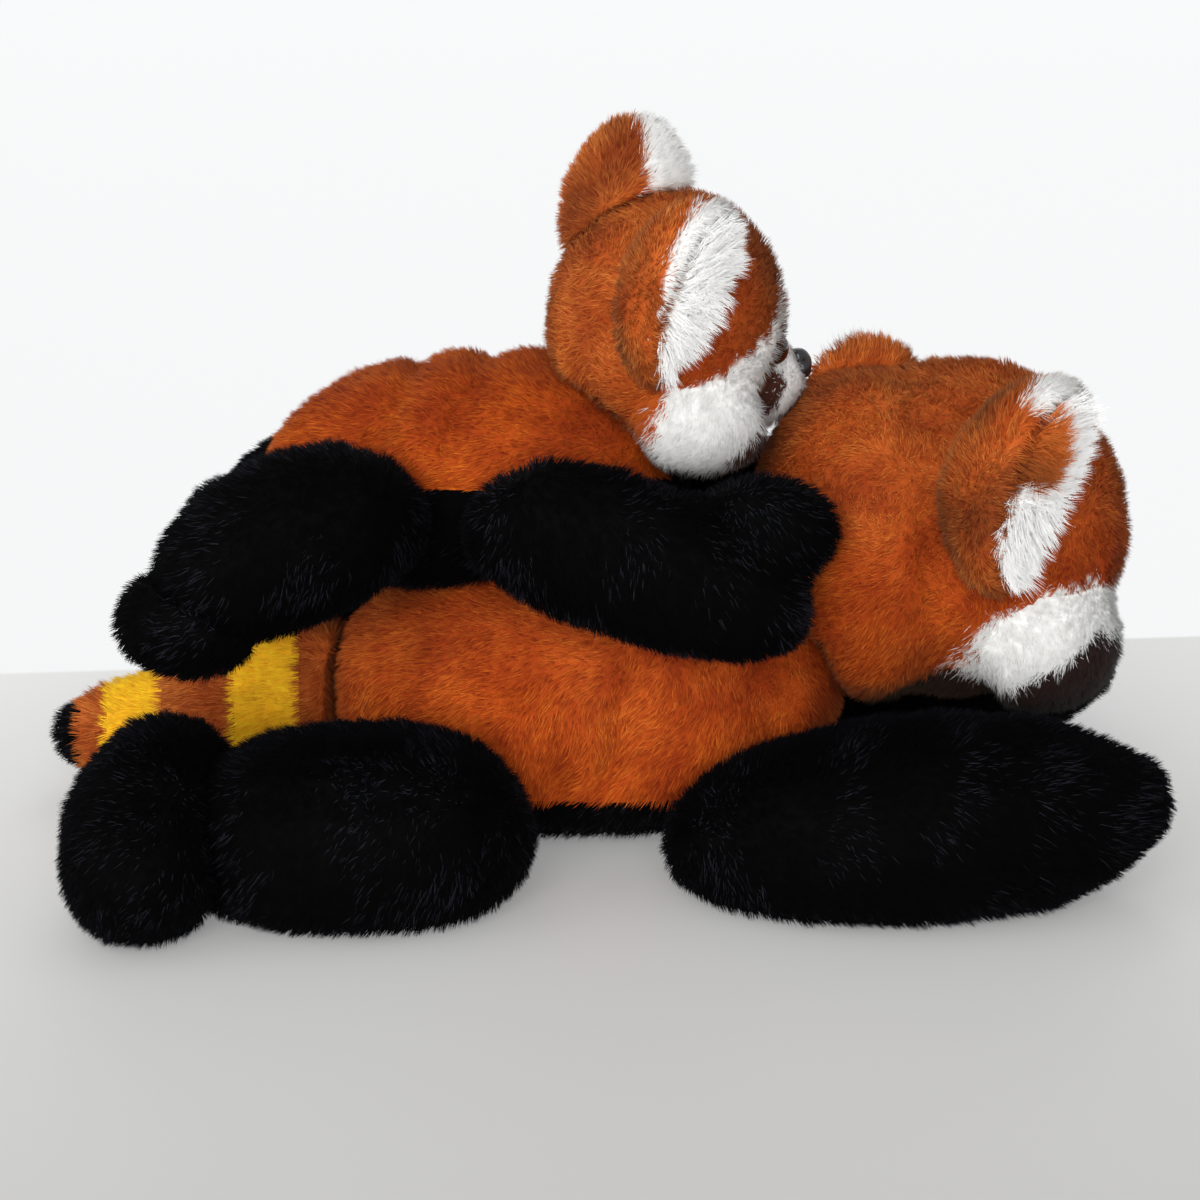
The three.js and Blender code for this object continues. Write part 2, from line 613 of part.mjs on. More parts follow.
for (const [name, side] of [['right', RIGHT], ['left', LEFT]]) {
  add(groupAt(mother, shoulder(side)), `mother_front_leg_${name}`,
    cutBy(frontLeg(side), trunkFromFrontLeg(side), sweptHead), 'black');
  const hind = groupAt(mother, hip(side));
  add(hind, `mother_thigh_${name}`, cutBy(thigh(side), trunkFromHindLeg(side)), 'black');
  add(hind, `mother_foot_${name}`, cutBy(foot(side), trunkFromHindLeg(side), thigh(side)), 'black');
  add(groupAt(baby, armHinge(side)), `baby_arm_${name}`, cutBy(arm(side), fromArm(trunk, side),
    fromArm(loweredHead, side), fromArm(babyTrunk, side), babyHeadSweep), 'black');
  const babyHind = groupAt(baby, legHinge(side));
  const clearOf = [trunk, babyTrunk].map((form) => fromBabyLeg(form, side));
  add(babyHind, `baby_leg_${name}`, cutBy(babyLeg(side), ...clearOf), 'black');
  add(babyHind, `baby_foot_${name}`, cutBy(babyFoot(side), ...clearOf, babyLeg(side)), 'black');
}

// The tails, in bands of colour sewn end to end.
const bothHindLegs = joined(hindLeg(RIGHT), hindLeg(LEFT));
const motherTail = cutBy(tail, trunkFromTail, bothHindLegs);
const tailGroup = groupAt(mother, RUMP.at);
const TAIL_COLOURS = ['brown', 'yellow', 'brown', 'yellow', 'brown', 'black'];
const tailSeams = TAIL_SEAMS.map(between(-TAIL.start, -TAIL.reach));
TAIL_COLOURS.forEach((colour, i) => {
  const from = tailSeams[i] ?? -WIDE;
  const to = tailSeams[i - 1] ?? WIDE;
  add(tailGroup, `mother_tail_band_${i + 1}`,
    () => largest(motherTail(0).intersect(slice(from + GAP, to))), colour);
});
const babyTailCut = cutBy(babyTail, babyTrunk, tailSweep, trunk);
const BABY_TAIL_COLOURS = ['yellow', 'brown', 'yellow', 'black'];
const babySeams = BABY_TAIL_SEAMS.map(between(up(BABY_TAIL.root), up(BABY_TAIL.tip)));
BABY_TAIL_COLOURS.forEach((colour, i) => {
  const from = babySeams[i] ?? -WIDE;
  const to = babySeams[i - 1] ?? WIDE;
  add(baby, `baby_tail_band_${i + 1}`,
    () => largest(babyTailCut(0).intersect(layer(from + GAP, to))), colour);
});

export default plush;
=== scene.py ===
"""Looks of the plush red panda with her baby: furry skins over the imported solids, faces, floor and
light.

Lengths are in millimetres until a mesh is made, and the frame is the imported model's.
"""

import math

import bmesh
import bpy
import numpy as np
from mathutils import Matrix, Vector
from mathutils.bvhtree import BVHTree
from mathutils.kdtree import KDTree


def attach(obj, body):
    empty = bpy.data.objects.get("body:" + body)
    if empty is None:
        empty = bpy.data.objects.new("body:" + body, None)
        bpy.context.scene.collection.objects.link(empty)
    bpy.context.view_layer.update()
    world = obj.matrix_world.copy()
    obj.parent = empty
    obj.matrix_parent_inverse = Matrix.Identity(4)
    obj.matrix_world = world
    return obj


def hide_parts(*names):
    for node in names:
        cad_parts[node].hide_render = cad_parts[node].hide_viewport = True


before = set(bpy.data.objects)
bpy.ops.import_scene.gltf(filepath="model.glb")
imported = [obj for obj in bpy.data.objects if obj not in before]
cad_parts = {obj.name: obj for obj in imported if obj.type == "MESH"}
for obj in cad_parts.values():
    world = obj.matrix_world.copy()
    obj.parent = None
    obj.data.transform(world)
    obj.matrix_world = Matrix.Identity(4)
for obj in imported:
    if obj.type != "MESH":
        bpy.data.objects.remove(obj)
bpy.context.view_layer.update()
MM = 0.001
FUR_SHARE = 1.0


# ---- materials --------------------------------------------------------------------------------

class Surface:
    """A new material and its shader, with short ways to add nodes to them."""

    def __init__(self, name, inputs):
        self.material = bpy.data.materials.new(name)
        self.material.use_nodes = True
        self.tree = self.material.node_tree
        self.shader = self.tree.nodes["Principled BSDF"]
        self.plug(self.shader, inputs)
        self.place = self.add("TexCoord", {}, "Object")

    def plug(self, node, inputs):
        """Gives a node's inputs their values, or links them to other nodes' outputs."""
        for key, value in inputs.items():
            if isinstance(value, bpy.types.NodeSocket):
                self.tree.links.new(value, node.inputs[key])
            else:
                node.inputs[key].default_value = value

    def add(self, kind, inputs, output=0, **settings):
        """Adds a node, and returns one of its outputs."""
        node = self.tree.nodes.new(f"ShaderNode{kind}")
        for key, value in settings.items():
            setattr(node, key, value)
        self.plug(node, inputs)
        return node.outputs[output]

    def attribute(self, name, output="Fac"):
        return self.add("Attribute", {}, output, attribute_name=name)

    def noise(self, scale, detail):
        return self.add("TexNoise", {"Vector": self.place, "Scale": scale, "Detail": detail},
                        "Fac")

    def ranged(self, value, low, high, source=(0, 1)):
        return self.add("MapRange", {"Value": value, "From Min": source[0],
                                     "From Max": source[1], "To Min": low, "To Max": high})

    def times(self, a, b):
        return self.add("Math", {0: a, 1: b}, operation="MULTIPLY")

    def mixed(self, share, first, second, kind="RGBA"):
        return self.add("Mix", {"Factor": share, "A": first, "B": second}, "Result",
                        data_type=kind)

    def bump(self, height, strength, distance):
        bump = self.add("Bump", {"Height": height, "Strength": strength, "Distance": distance})
        self.plug(self.shader, {"Normal": bump})


def linear(red, green, blue):
    """A colour given as it looks on screen, from 0 to 255, as the shader wants it."""
    return np.array([(c / 255) ** 2.2 for c in (red, green, blue)])


RUST = linear(181, 79, 27)
ORANGE = linear(189, 79, 21)
BROWN = linear(186, 92, 38)
DARK = linear(74, 42, 32)
CHIN = linear(50, 33, 28)
BARK = linear(142, 70, 30)
BLACK = linear(4, 3, 6)
# Painted highlight: grey for a few black strands, standing in for glints where the nap catches
# light.
GLINT = linear(38, 38, 45)
WHITE = linear(240, 239, 236)
# The ear linings' white: the same plush as WHITE, painted brighter as painted light for linings in
# the shade of their cups.
PAINTED_LIT_WHITE = linear(255, 254, 252)
YELLOW = linear(255, 186, 36)

# Where noise has most of its values, how much blue tells white strands from the others, and how
# bright a strand's tip is, the light end of the painted shade that darkens it towards its root.
NOISE_BAND = (0.3, 0.7)
WHITE_BAND = (0.1, 0.8)
TIP_BRIGHTNESS = 1.25


def fur_material(name, roughness=0.85, sheen=0.08, patch=0.24, root=0.52, tint=(1, 0.6, 0.35),
                 gloss=0.2, uneven=0.42, golden=(0.8, 1.3)):
    """Plush: the coat's colour, uneven from strand to strand and from patch to patch, with painted
    shade that darkens each strand towards its root and painted light on its tip. White strands stay
    bright and even on any plush. golden says how much faster than red the green and the blue rise
    with the brightness, so the painted shade goes redder and the lit tips more golden."""
    fur = Surface(name, {"Roughness": roughness, "Sheen Weight": sheen, "Sheen Roughness": 0.4,
                         "Sheen Tint": (*tint, 1), "Specular IOR Level": gloss})
    tip, coat = fur.attribute("tip"), fur.attribute("coat", "Color")
    blue = fur.add("SeparateColor", {0: coat}, "Blue")
    broad = fur.ranged(fur.noise(55, 4), 1 - patch, 1 + patch, NOISE_BAND)
    fine = fur.ranged(fur.noise(420, 2), 0.9, 1.1, NOISE_BAND)
    lot = fur.ranged(fur.attribute("lot"), 1 - uneven, 1 + uneven)
    # Painted shade: each strand darker from its tip towards its root, deep in the pile.
    coloured = fur.times(fur.times(lot, fur.ranged(tip, root, TIP_BRIGHTNESS)),
                         fur.times(broad, fine))
    white = fur.times(fur.ranged(tip, 0.9, TIP_BRIGHTNESS), fine)
    value = fur.mixed(fur.ranged(blue, 0, 1, WHITE_BAND), coloured, white, "FLOAT")
    green_gain, blue_gain = (
        fur.add("Math", {0: value, 1: fur.ranged(blue, most, 0, WHITE_BAND)}, operation="POWER")
        for most in golden)
    hue = fur.add("CombineXYZ", {"X": 1, "Y": green_gain, "Z": blue_gain})
    scaled = fur.add("VectorMath", {0: coat, "Scale": value}, operation="SCALE")
    fur.plug(fur.shader, {
        "Base Color": fur.add("VectorMath", {0: scaled, 1: hue}, operation="MULTIPLY")})
    fur.bump(fur.noise(900, 3), 0.25, 0.0006)
    return fur.material


def shiny_material(name, colour, other, roughness, coat=0.0):
    """Moulded plastic or thread, faintly mottled from one colour to another."""
    shiny = Surface(name, {"Roughness": roughness, "Coat Weight": coat, "Coat Roughness": 0.04})
    noise = shiny.noise(600, 2)
    mottled = shiny.mixed(shiny.ranged(noise, 0, 1, (0.45, 0.8)), (*colour, 1), (*other, 1))
    shiny.plug(shiny.shader, {"Base Color": mottled})
    shiny.bump(noise, 0.04, 0.0002)
    return shiny.material


# ---- camera, floor and light ------------------------------------------------------------------

CAMERA_AT = (0, -0.869, 0.361)
CAMERA_BOWED = 18
LENS, SENSOR = 76.5, 36

# The wall begins along a slanting line behind the toy. The table is painted paler towards it and
# darker towards the camera, painted light and shade. The table glows a little, painted light that
# softens the shadows on it; the wall glows evenly as a white backdrop.
WALL_WAY = (-0.095, 1, 0)
WALL_EDGE = (0.1645, 0.1675)
TABLE_SHADE_FADE = (-0.55, 0.15)
TABLE_NEAR_SHADED = (0.2, 0.195, 0.185, 1)
TABLE_FAR_LIT = (0.64, 0.63, 0.61, 1)
WALL = (0.02, 0.02, 0.02, 1)
TABLE_GLOW, WALL_GLOW = 0.2, 0.85

# Each lamp's place and aim in metres, its width, and its power in watts.
LAMPS = {
    "key": ((-0.25, -1.7, 0.7), (0, 0, 0.08), 1.6, 24),
    "side": ((-1.2, -0.5, 0.7), (0, 0, 0.1), 1.2, 4),
    "back": ((0.2, 1.1, 1.2), (0, 0, 0.1), 0.9, 3),
}


def linked(name, data):
    """A new object in the scene."""
    thing = bpy.data.objects.new(name, data)
    bpy.context.collection.objects.link(thing)
    return thing


def add_camera():
    data = bpy.data.cameras.new("camera")
    data.lens, data.sensor_width = LENS, SENSOR
    data.clip_start, data.clip_end = 0.01, 50
    camera = linked("camera", data)
    camera.location = CAMERA_AT
    camera.rotation_euler = (math.radians(90 - CAMERA_BOWED), 0, 0)
    bpy.context.scene.camera = camera


def add_lamp(name, at, aim, size, power):
    data = bpy.data.lights.new(name, "AREA")
    data.shape, data.size, data.energy = "DISK", size, power
    lamp = linked(name, data)
    lamp.location = at
    lamp.rotation_euler = (Vector(aim) - Vector(at)).to_track_quat("-Z", "Y").to_euler()


def add_floor():
    """One plane: a table top painted with light and shade, and further back the white wall."""
    bpy.ops.mesh.primitive_plane_add(size=16, location=(0, 0, -0.0002))
    floor = bpy.context.object
    floor.name = "floor"
    look = Surface("floor", {"Roughness": 0.55, "Emission Color": (0.99, 0.995, 1, 1)})
    back = look.add("VectorMath", {0: look.place, 1: WALL_WAY}, "Value", operation="DOT_PRODUCT")
    wall = look.ranged(back, 0, 1, WALL_EDGE)
    # Painted light and shade: the table darker near the camera, paler towards the wall.
    table = look.mixed(look.ranged(back, 0, 1, TABLE_SHADE_FADE), TABLE_NEAR_SHADED, TABLE_FAR_LIT)
    # The table's faint glow is painted light; the wall's strong, even glow makes a white backdrop.
    look.plug(look.shader, {"Base Color": look.mixed(wall, table, WALL),
                            "Emission Strength": look.ranged(wall, TABLE_GLOW, WALL_GLOW)})
    floor.data.materials.append(look.material)


def add_studio():
    add_camera()
    add_floor()
    world = bpy.data.worlds.new("studio")
    bpy.context.scene.world = world
    world.use_nodes = True
    background = world.node_tree.nodes["Background"]
    background.inputs["Color"].default_value = (0.96, 0.98, 1.0, 1)
    background.inputs["Strength"].default_value = 0.62
    for name, lamp in LAMPS.items():
        add_lamp(name, *lamp)
    bpy.context.scene.view_settings.view_transform = "Standard"


# ---- meshes -----------------------------------------------------------------------------------

def waves(points, size, seed):
    """A smooth field with values round 0, whose swells are about size across."""
    rng = np.random.default_rng(seed)
    total = np.zeros(len(points))
    for _ in range(7):
        way = rng.normal(size=3)
        way *= 2 * math.pi / size / np.linalg.norm(way) * rng.uniform(0.6, 1.4)
        total += np.sin(points @ way + rng.uniform(0, 2 * math.pi))
    return total / 2.6


def unit(vectors):
    return vectors / np.maximum(np.linalg.norm(vectors, axis=-1, keepdims=True), 1e-9)


def normals_of(points, faces):
    a, b, c = (points[faces[:, k]] for k in range(3))
    across = np.cross(b - a, c - a)
    total = np.zeros_like(points)
    for k in range(3):
        for axis in range(3):
            total[:, axis] += np.bincount(faces[:, k], across[:, axis], len(points))
    return unit(total)


def smoothed(points, edges, rounds):
    both = np.concatenate([edges, edges[:, ::-1]])
    count = np.bincount(both[:, 0], minlength=len(points))[:, None]
    for _ in range(rounds):
        near = np.stack([
            np.bincount(both[:, 0], points[both[:, 1], axis], len(points)) for axis in range(3)
        ], axis=1)
        points = points + 0.5 * (near / np.maximum(count, 1) - points)
    return points


def read(items, name, each, kind=np.int32):
    """A value of every item of a mesh, with each numbers to an item."""
    values = np.empty(len(items) * each, kind)
    items.foreach_get(name, values)
    return values.reshape(-1, each)


def packed_mesh(node):
    """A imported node's points in metres, and its triangles."""
    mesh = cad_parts[node].data
    mesh.calc_loop_triangles()
    return read(mesh.vertices, "co", 3, float), read(mesh.loop_triangles, "vertices", 3)


def joined(meshes):
    """Several points and faces as one."""
    starts = np.cumsum([0] + [len(points) for points, _ in meshes])
    return (np.concatenate([points for points, _ in meshes]),
            np.concatenate([faces + start for (_, faces), start in zip(meshes, starts)]))


def remeshed(nodes, voxel):
    """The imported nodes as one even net: points in millimetres, triangles and edges."""
    points, tris = joined([packed_mesh(node) for node in nodes])
    rough = bpy.data.meshes.new("rough")
    rough.from_pydata(points.tolist(), [], tris.tolist())
    thing = linked("rough", rough)
    modifier = thing.modifiers.new("even", "REMESH")
    modifier.mode, modifier.voxel_size = "VOXEL", voxel * MM
    mesh = thing.evaluated_get(bpy.context.evaluated_depsgraph_get()).to_mesh()
    points = read(mesh.vertices, "co", 3, float) / MM
    quads = read(mesh.loops, "vertex_index", 1).reshape(-1, 4)
    edges = read(mesh.edges, "vertices", 2)
    bpy.data.objects.remove(thing)
    bpy.data.meshes.remove(rough)
    return points, np.concatenate([quads[:, [0, 1, 2]], quads[:, [0, 2, 3]]]), edges


def sliced(points, faces, axis, low, high, lids):
    """The stretch of a closed form between two places along an axis, with a flat lid at each if
    lids is true."""
    mesh = bpy.data.meshes.new("slice")
    mesh.from_pydata(points.tolist(), [], faces.tolist())
    net = bmesh.new()
    net.from_mesh(mesh)
    bpy.data.meshes.remove(mesh)
    for place, way in ((low, -1), (high, 1)):
        if place is None:
            continue
        at, normal = np.zeros(3), np.zeros(3)
        at[axis], normal[axis] = place, way
        bmesh.ops.bisect_plane(net, geom=net.verts[:] + net.edges[:] + net.faces[:],
                               plane_co=at, plane_no=normal, clear_outer=True)
        if lids:
            bmesh.ops.holes_fill(net, edges=[e for e in net.edges if e.is_boundary])
    bmesh.ops.triangulate(net, faces=net.faces[:])
    net.verts.index_update()
    points = np.array([v.co[:] for v in net.verts])
    faces = np.array([[v.index for v in f.verts] for f in net.faces])
    net.free()
    return points, faces


def patch_near(points, faces, node, reach):
    """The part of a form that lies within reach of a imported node."""
    node_points, node_tris = packed_mesh(node)
    tree = BVHTree.FromPolygons((node_points / MM).tolist(), node_tris.tolist())
    gaps = np.array([tree.find_nearest(p)[3] for p in points])
    faces = faces[np.all(gaps[faces] < reach, axis=1)]
    used, faces = np.unique(faces, return_inverse=True)
    return points[used], faces.reshape(-1, 3)


def lined(points, faces, thickness):
    """An open skin as fabric: with its inner side, and a rim that joins the two."""
    count = len(points)
    ways = np.concatenate([faces[:, [0, 1]], faces[:, [1, 2]], faces[:, [2, 0]]])
    key = ways.min(1) * count + ways.max(1)
    _, first, uses = np.unique(key, return_index=True, return_counts=True)
    a, b = ways[first[uses == 1]].T
    inner = points - thickness * normals_of(points, faces)
    rim = [np.stack([b, a, a + count], axis=1), np.stack([b, a + count, b + count], axis=1)]
    return (np.concatenate([points, inner]),
            np.concatenate([faces, faces[:, ::-1] + count, *rim]))


def mesh_of(name, points, faces):
    """A smooth mesh in metres from points in millimetres and triangles."""
    mesh = bpy.data.meshes.new(name)
    mesh.vertices.add(len(points))
    mesh.vertices.foreach_set("co", (points * MM).ravel())
    mesh.loops.add(faces.size)
    mesh.loops.foreach_set("vertex_index", faces.ravel().astype(np.int32))
    mesh.polygons.add(len(faces))
    mesh.polygons.foreach_set("loop_start", (3 * np.arange(len(faces))).astype(np.int32))
    mesh.polygons.foreach_set("use_smooth", np.ones(len(faces), bool))
    mesh.update(calc_edges=True)
    return mesh


def line_distance(points, line):
    """How far each point lies from a line through a few given points."""
    best = np.full(len(points), np.inf)
    for a, b in zip(line[:-1], line[1:]):
        a, b = np.array(a, float), np.array(b, float)
        along = np.clip((points - a) @ (b - a) / ((b - a) @ (b - a)), 0, 1)
        best = np.minimum(best, np.linalg.norm(points - a - along[:, None] * (b - a), axis=1))
    return best


# ---- where things are -------------------------------------------------------------------------

def rotation(*turns):
    """Turns in degrees, each about its axis, as one matrix."""
    matrix = Matrix.Identity(3)
    for degrees, axis in turns:
        matrix = matrix @ Matrix.Rotation(math.radians(degrees), 3, axis)
    return np.array(matrix)


class Place:
    """A point of the frame with axes of its own."""

    def __init__(self, at, turn):
        self.at, self.turn = np.array(at, float), turn

    def local(self, points):
        return (points - self.at) @ self.turn

    def along(self, *vector):
        return self.turn @ np.array(vector, float)

    def world(self, *point):
        return self.at + self.along(*point)


class Head(Place):
    """A head's middle and half sizes. Its face looks along its +X."""

    def __init__(self, at, turned, bowed, tilted, half):
        super().__init__(at, rotation((turned, "Z"), (bowed, "Y"), (tilted, "X")))
        self.half = np.array(half, float)

    def seat(self, centre, half, out, up, depth):
        """A point on a round form with three half sizes, sunk by depth, and the way out of it."""
        half = np.array(half, float)
        ahead = half[0] * math.sqrt(1 - (out / half[1]) ** 2 - (up / half[2]) ** 2)
        place = np.array([ahead, out, up])
        normal = unit(place / half ** 2)
        return self.world(*(np.array(centre) + place - depth * normal)), self.along(*normal)


class Ear(Place):
    """The mouth of an ear, whose cup opens along +X, on one side of a head: -1 right, 1 left."""

    def __init__(self, head, side, back, out, up, lean, opens):
        super().__init__(head.world(-back, side * out, up),
                         head.turn @ rotation((-side * lean, "X"), (side * opens, "Z")))


HEADS = {
    "mother": Head((128, 4, 105), 46, 16, 14, (55, 61, 60)),
    "baby": Head((22, -8, 182), 20, 12, 23, (41, 43, 46)),
}
EARS = {
    "mother_ear_right": Ear(HEADS["mother"], -1, 38, 47, 32, -6, 79),
    "mother_ear_left": Ear(HEADS["mother"], 1, 14, 53, 12, 4, 79),
    "baby_ear_right": Ear(HEADS["baby"], -1, 10, 34, 30, -8, 48),
    "baby_ear_left": Ear(HEADS["baby"], 1, 12, 30, 22, 30, 48),
}

# Each muzzle's centre in its head's own frame, and its half sizes.
MUZZLES = {"mother": ((44, 0, -18), (25, 27, 20)), "baby": ((39, 0, -17), (20, 19, 16))}


# ---- coats: the colour of every point of a piece ------------------------------------------------

def plain(colour):
    return lambda points, normals: np.tile(colour, (len(points), 1))


def blended(base, colour, share):
    share = np.clip(share, 0, 1)[:, None]
    return base * (1 - share) + colour * share


def edge(value, width):
    """0 where value is well below 0, 1 well above it."""
    return np.clip(2 * value / width + 0.5, 0, 1)


def rusty(low, high, bottom, top):
    """From one rust to another with height, in uneven patches."""
    def coat(points, normals):
        share = np.clip((points[:, 2] - bottom) / (top - bottom), 0, 1)
        return blended(low, high, share + 0.25 * waves(points, 55, 5))
    return coat


def patchy(base, colour, share, size, seed):
    """A colour with patches of another in it."""
    def coat(points, normals):
        return blended(plain(base)(points, normals), colour,
                       share * (0.5 + waves(points, size, seed)))
    return coat


def darker_ahead(head, ground):
    """A head's ground colour, deeper on the forehead than at the back."""
    def coat(points, normals):
        ahead = edge(head.local(points)[:, 0] / head.half[0] - 0.35, 0.9)
        return ground(points, normals) * (1 - 0.4 * ahead)[:, None]
    return coat


def behind(head, place, coat, ground):
    """A coat that gives way to the ground colour behind a place along the head."""
    def both(points, normals):
        rear = edge(place - head.local(points)[:, 0] + 1.5 * waves(points, 6, 13), 2)
        return blended(coat(points, normals), ground(points, normals), rear)
    return both


def near_line(points, line, reach):
    """Above 0 within reach of a line, and 1 on it."""
    return 1 - line_distance(points, line) / reach


# A red panda's mask: a white ruff and brow on each side of the face, and a dark stripe down from
# each eye, as the right side's line in the head's own frame and how far it reaches. Below chin it
# is dark, and also below a plane, the jaw, given by its way up and its distance. soft is how wide
# the edge of the dark is.
MASKS = {
    "mother": {
        "ruff": ([(-12, -44, -36), (-18, -50, -22), (-4, -56, -11), (14, -56, -8),
                  (34, -46, -8)], 14),
        "brow": ([(47, -15, 19), (44, -22, 22), (40, -28, 21)], 6),
        "stripe": ([(49, -19, 8), (46, -25, -6), (38, -31, -20), (24, -36, -34)], 6),
        "chin": -39, "jaw": ((-0.95, 0.8, 1), 65), "soft": 8,
    },
    "baby": {
        "ruff": ([(4, -42, -12), (16, -40, -3), (26, -33, 5)], 12),
        "brow": ([(29, -29, 10), (34, -22, 18), (36, -13, 25)], 6.5),
        "stripe": ([(35, -17, 8), (40, -17, -4), (39, -21, -15), (35, -30, -18),
                    (30, -43, -17), (24, -50, -22)], 7),
        "chin": -31, "jaw": ((0, 0, 1), 50), "soft": 6,
    },
}
JAW_LEVELS = 5


def masked(who, ground):
    """A mask over its ground colour. The jaw's plane levels out ahead of JAW_LEVELS."""
    head, mask = HEADS[who], MASKS[who]
    soft = mask["soft"]
    up, distance = mask["jaw"]

    def coat(points, normals):
        colour = ground(points, normals)
        local = head.local(points)
        local[:, 1] = -np.abs(local[:, 1])
        ragged = 0.16 * waves(points, 5, 11) + 0.1 * waves(points, 17, 12)
        for part in ("ruff", "brow"):
            share = edge(near_line(local, *mask[part]) + ragged, 0.2)
            colour = blended(colour, WHITE, share)
        jaw = local @ up + distance - up[0] * np.maximum(local[:, 0] - JAW_LEVELS, 0)
        below = np.maximum(mask["chin"] - local[:, 2], -jaw) / soft
        colour = blended(colour, CHIN, edge(below + ragged, 0.3)
                         * edge((local[:, 0] + soft * 3) / soft, 1))
        return blended(colour, DARK, edge(near_line(local, *mask["stripe"]) + ragged, 0.3))
    return coat


# How far behind its mouth each ear's white rim begins, and how much that slants across the ear
# and up it.
RIMS = {
    "mother_ear_right": (-2, 0, 0.35),
    "mother_ear_left": (1, 0, 0),
    "baby_ear_right": (0, 0, 0.22),
    "baby_ear_left": (9, -1, 0),
}


def rimmed(ear, ground, depth, across, up):
    """An ear, brown up to depth behind the mouth of its cup, and white ahead of that."""
    def coat(points, normals):
        ahead = ear.local(points) @ (1, across, up) + depth
        return blended(ground(points, normals), WHITE, edge(ahead + waves(points, 6, 8), 2))
    return coat


# The brown lobe that folds over the upper half of an ear's mouth: its middle line in the mouth,
# how far its colour reaches, and how far it swells.
LOBE = [(0, -34, 13), (0, -16, 13)]
LOBE_REACH = 12.5
LOBE_SWELL = 11


def from_lobe(local):
    return line_distance(local * (0, 1, 1), LOBE)


def lobed(ear, coat, brown):
    """An ear's coat with the lobe."""
    def lobed_coat(points, normals):
        inside = LOBE_REACH - from_lobe(ear.local(points)) + waves(points, 6, 8)
        return blended(coat(points, normals), brown(points, normals), edge(inside, 3))
    return lobed_coat


def swollen(ear, depth, lobe=0):
    """A lining that swells out of its ear's mouth, and further out where a lobe is."""
    def shape(points, normals):
        local = ear.local(points)
        far = np.hypot(*(local[:, k] / np.abs(local[:, k]).max() for k in (1, 2)))
        dome = depth * (1 - far ** 2)
        if lobe:
            dome += lobe * np.exp(-(from_lobe(local) / LOBE_SWELL) ** 4)
        front = np.clip(2 * normals @ ear.along(1, 0, 0), 0, 1)
        return points + (front * np.maximum(dome - local[:, 0], 0))[:, None] * ear.along(1, 0, 0)
    return shape


# ---- flows: which way the fur lies, and how long it is ------------------------------------------

def towards(*way):
    """Fur that lies one way all over."""
    return lambda points, normals: np.tile(np.array(way, float), (len(points), 1))


def away_from(point, tilt=(0, 0, -0.2)):
    """Fur that lies away from a point, and a little along tilt."""
    return lambda points, normals: unit(points - np.array(point, float)) + np.array(tilt, float)


def over_rim(ear, flow):
    """Fur that leans from the rim of an ear's cup over its mouth."""
    def way(points, normals):
        local = ear.local(points)
        rim = np.clip(1 + local[:, 0] / 5, 0, 1)[:, None]
        inward = unit(local * (0, -1, -1)) @ ear.turn.T + 0.4 * ear.along(1, 0, 0)
        return unit(flow(points, normals)) * (1 - rim) + inward * rim
    return way


def bearded(head, pile):
    """The length of a pile that is longer under the chin."""
    return lambda points, normals: pile * (1 + 1.2 * np.clip(-normals @ head.along(0, 0, 1), 0, 1))


# ---- furry pieces -----------------------------------------------------------------------------

# How far everything stays above the table. Faces whose corners' heights add up to less than
# PRESSED lie on it and bear less fur.
FLOOR_GAP = 0.3
PRESSED, PRESSED_SHARE = 3.6, 0.2

# How much a strand's way swirls with its place and strays by itself, in shares of its length,
# and how its lean strays and rolls, in degrees.
SWIRL, STRAY = 0.35, 0.22
LEAN_STRAY, LEAN_ROLL = 10, 8

# The share of strands that others clump to, and over what distance they do.
CLUMP_SHARE, CLUMP_REACH = 0.07, 3

# Strands are rooted this far inside the skin.
ROOT_DEPTH = 0.4

# A strand looks ahead from LOOK_FROM off its root. A neighbour's skin nearer than CLOSE leaves it
# no room. Any other it keeps off by filling ROOM of the gap, but it is never cut below SHORTEST.
LOOK_FROM = 0.5
CLOSE, ROOM, SHORTEST = 0.3, 0.8, 0.8


class Form:
    """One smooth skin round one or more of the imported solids, before any seam cuts it. A crease
    is a line, how far it reaches to each side, and its depth."""

    def __init__(self, nodes, voxel=3.0, rounds=14, inset=1.2, lumps=0.5, creases=(), shape=None):
        self.nodes, self.voxel, self.rounds, self.inset = nodes, voxel, rounds, inset
        self.lumps, self.creases, self.shape = lumps, creases, shape
        self.made = None

    def make(self):
        if self.made is None:
            points, faces, edges = remeshed(self.nodes, self.voxel)
            points = smoothed(points, edges, self.rounds)
            normals = normals_of(points, faces)
            push = -self.inset + self.lumps * waves(points, 26, 3)
            for line, reach, depth in self.creases:
                push -= depth * np.exp(-(line_distance(points, line) / reach) ** 2)
            points = points + normals * push[:, None]
            if self.shape:
                points = self.shape(points, normals)
            points = smoothed(points, edges, 2)
            points[:, 2] = np.maximum(points[:, 2], FLOOR_GAP)
            self.made = points, faces
        return self.made


